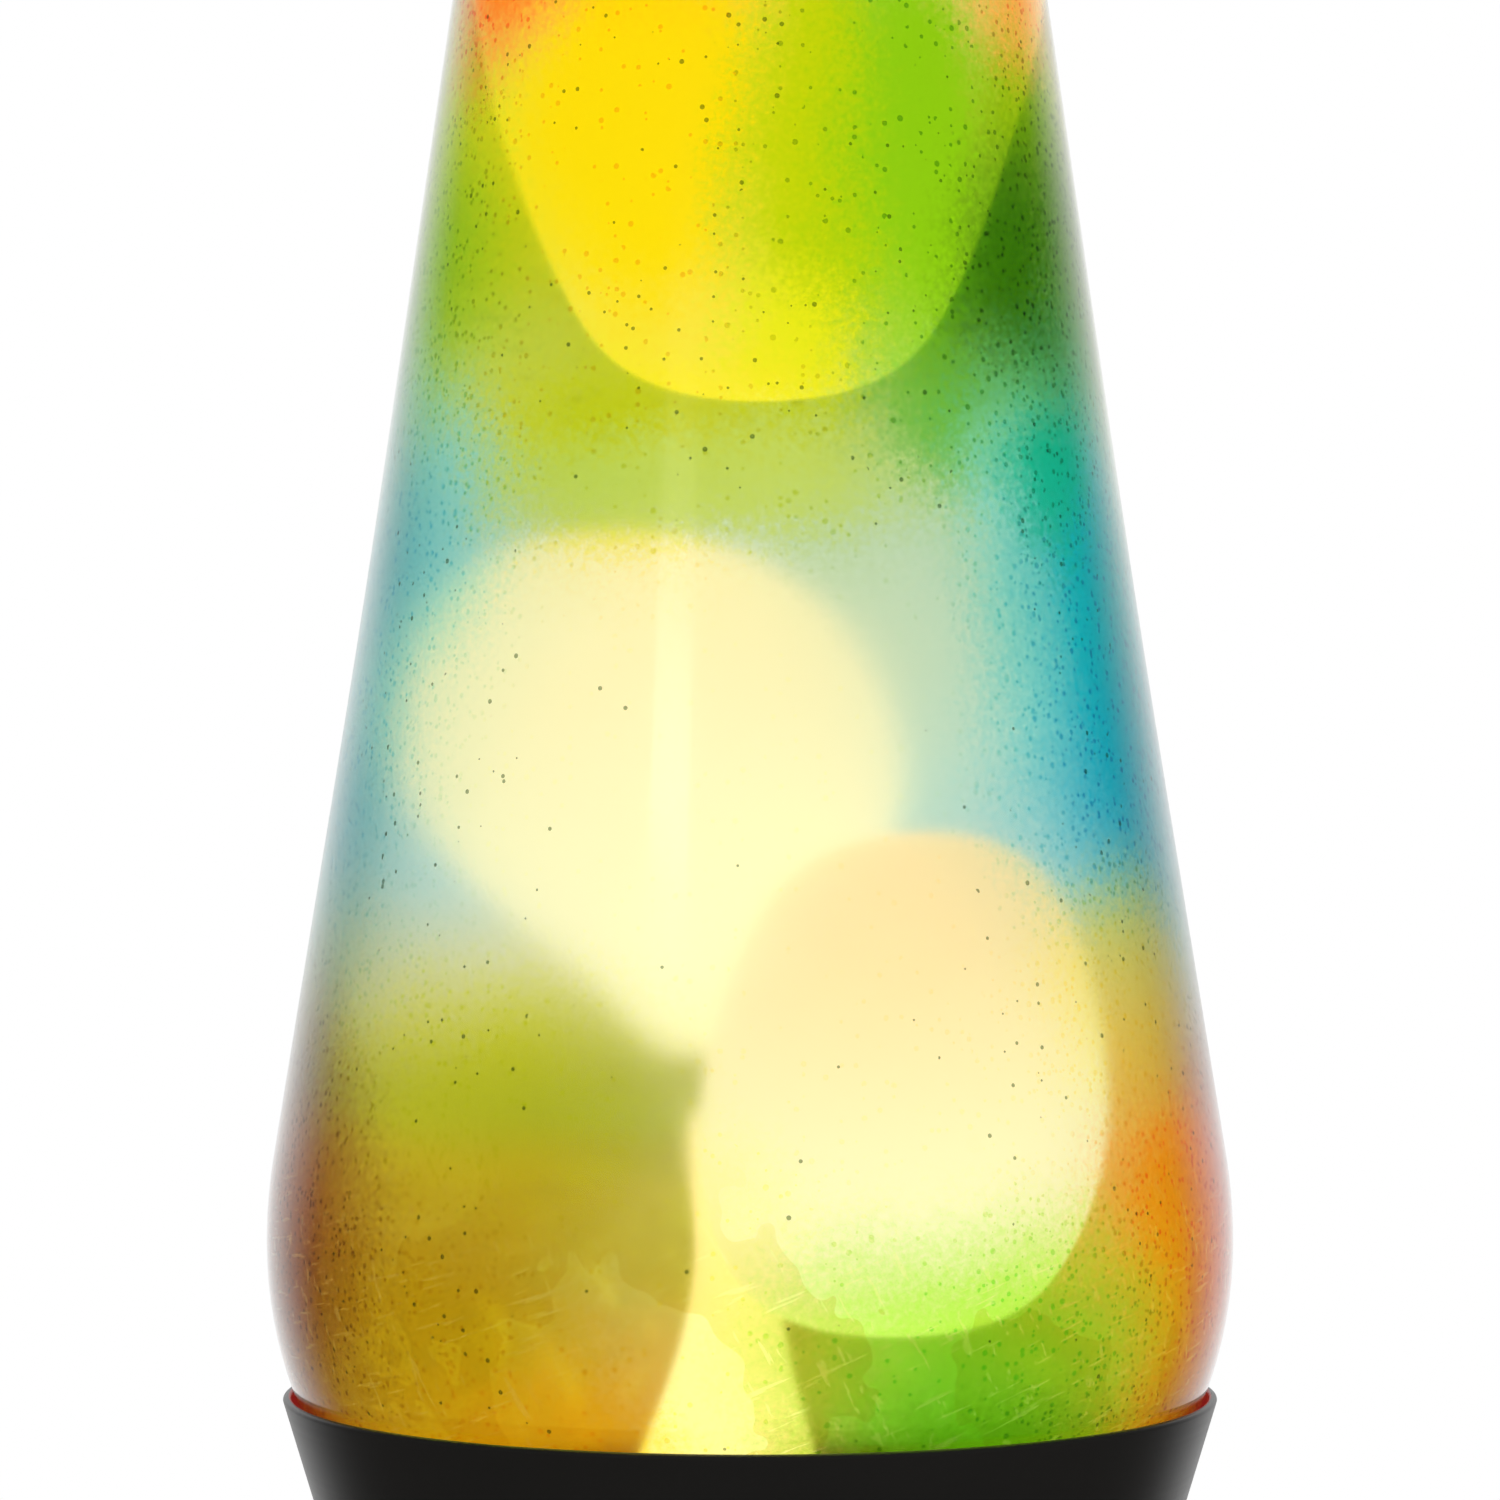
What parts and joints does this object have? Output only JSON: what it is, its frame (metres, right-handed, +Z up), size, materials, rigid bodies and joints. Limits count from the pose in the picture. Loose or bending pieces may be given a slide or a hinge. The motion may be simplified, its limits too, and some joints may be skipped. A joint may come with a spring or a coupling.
{
  "type": "lava lamp",
  "caption": "Lava lamp: hourglass base with a lampholder and bulb, a painted glass globe of liquid and rising wax resting in it, and a conical cap on top.",
  "frame": {"origin": "on the table, under the middle of the lamp", "axes": "+Z up along the lamp's axis; the cord outlet is at the back, towards +Y; +X to the right seen from the front"},
  "size_m": [0.0988, 0.0988, 0.368],
  "materials": {
    "black_aluminium": "satin black lacquer on spun aluminium",
    "bare_aluminium": "stamped, dull",
    "zinc_steel": "zinc plated",
    "brass": "plain",
    "solder": "tinned",
    "phenolic": "moulded",
    "black_plastic": "moulded",
    "black_rubber": "soft",
    "silicone": "translucent",
    "liner": "soft",
    "black_glass": "vitrite",
    "clear_glass": "clear",
    "painted_glass": "clear glass with sprayed translucent colours",
    "cap_steel": "tinned crown cap",
    "nickel_wire": "drawn wire",
    "coil_steel": "coiled wire",
    "tungsten": "coiled wire",
    "wax": "melted wax",
    "liquid": "clear liquid"
  },
  "bodies": {
    "base": {"base_shell": "black_aluminium", "cord_grommet": "black_rubber", "bottom_cover": "black_plastic", "cover_screws": "zinc_steel", "cover_nuts": "zinc_steel", "holder_bracket": "zinc_steel", "bracket_screws": "zinc_steel", "holder_rivets": "brass", "lampholder_body": "phenolic", "lampholder_shell": "brass", "lampholder_contact": "brass", "terminal_screws": "brass", "globe_seat": "bare_aluminium", "seat_cushion": "silicone", "rubber_foot_1": "black_rubber", "rubber_foot_2": "black_rubber", "rubber_foot_3": "black_rubber", "rubber_foot_4": "black_rubber"},
    "bulb_tip": {"bulb_contact": "solder"},
    "bulb": {"bulb_insulator": "black_glass", "bulb_cap": "brass", "bulb_envelope": "clear_glass", "bulb_stem": "clear_glass", "bulb_leads": "nickel_wire", "bulb_filament": "tungsten"},
    "globe": {"globe_glass": "painted_glass", "crown_cap": "cap_steel", "crown_liner": "liner", "wax_coil": "coil_steel", "wax_pool": "wax", "liquid": "liquid"},
    "wax_upper": {"wax_blob_upper": "wax"},
    "wax_middle": {"wax_blob_middle": "wax"},
    "wax_right": {"wax_blob_right": "wax"},
    "cap": {"top_cap": "black_aluminium"}
  },
  "joints": [
    {"name": "bulb_rise", "type": "slide", "parent": "base", "child": "bulb_tip", "axis": [0, 0, 1], "range_m": [0, 0.0091]},
    {"name": "bulb_turn", "type": "hinge", "parent": "bulb_tip", "child": "bulb", "pos_m": [0, 0, 0.025], "axis": [0, 0, 1], "range_deg": [0, 1800]},
    {"name": "globe_lift", "type": "slide", "parent": "base", "child": "globe", "axis": [0, 0, 1], "range_m": [0, 0.07]},
    {"name": "wax_upper_drift", "type": "slide", "parent": "globe", "child": "wax_upper", "axis": [0, 0, 1], "range_m": [0, 0.01], "deforming": ["liquid"]},
    {"name": "wax_middle_drift", "type": "slide", "parent": "globe", "child": "wax_middle", "axis": [0, 0, 1], "range_m": [-0.002, 0.009], "deforming": ["liquid"]},
    {"name": "wax_right_drift", "type": "slide", "parent": "globe", "child": "wax_right", "axis": [0, 0, 1], "range_m": [-0.012, 0.0015], "deforming": ["liquid"]},
    {"name": "cap_lift", "type": "slide", "parent": "globe", "child": "cap", "axis": [0, 0, 1], "range_m": [0, 0.07]}
  ],
  "couplings": [
    {"joint": "bulb_rise", "follows": "bulb_turn", "m_per_rad": 0.00028875}
  ]
}
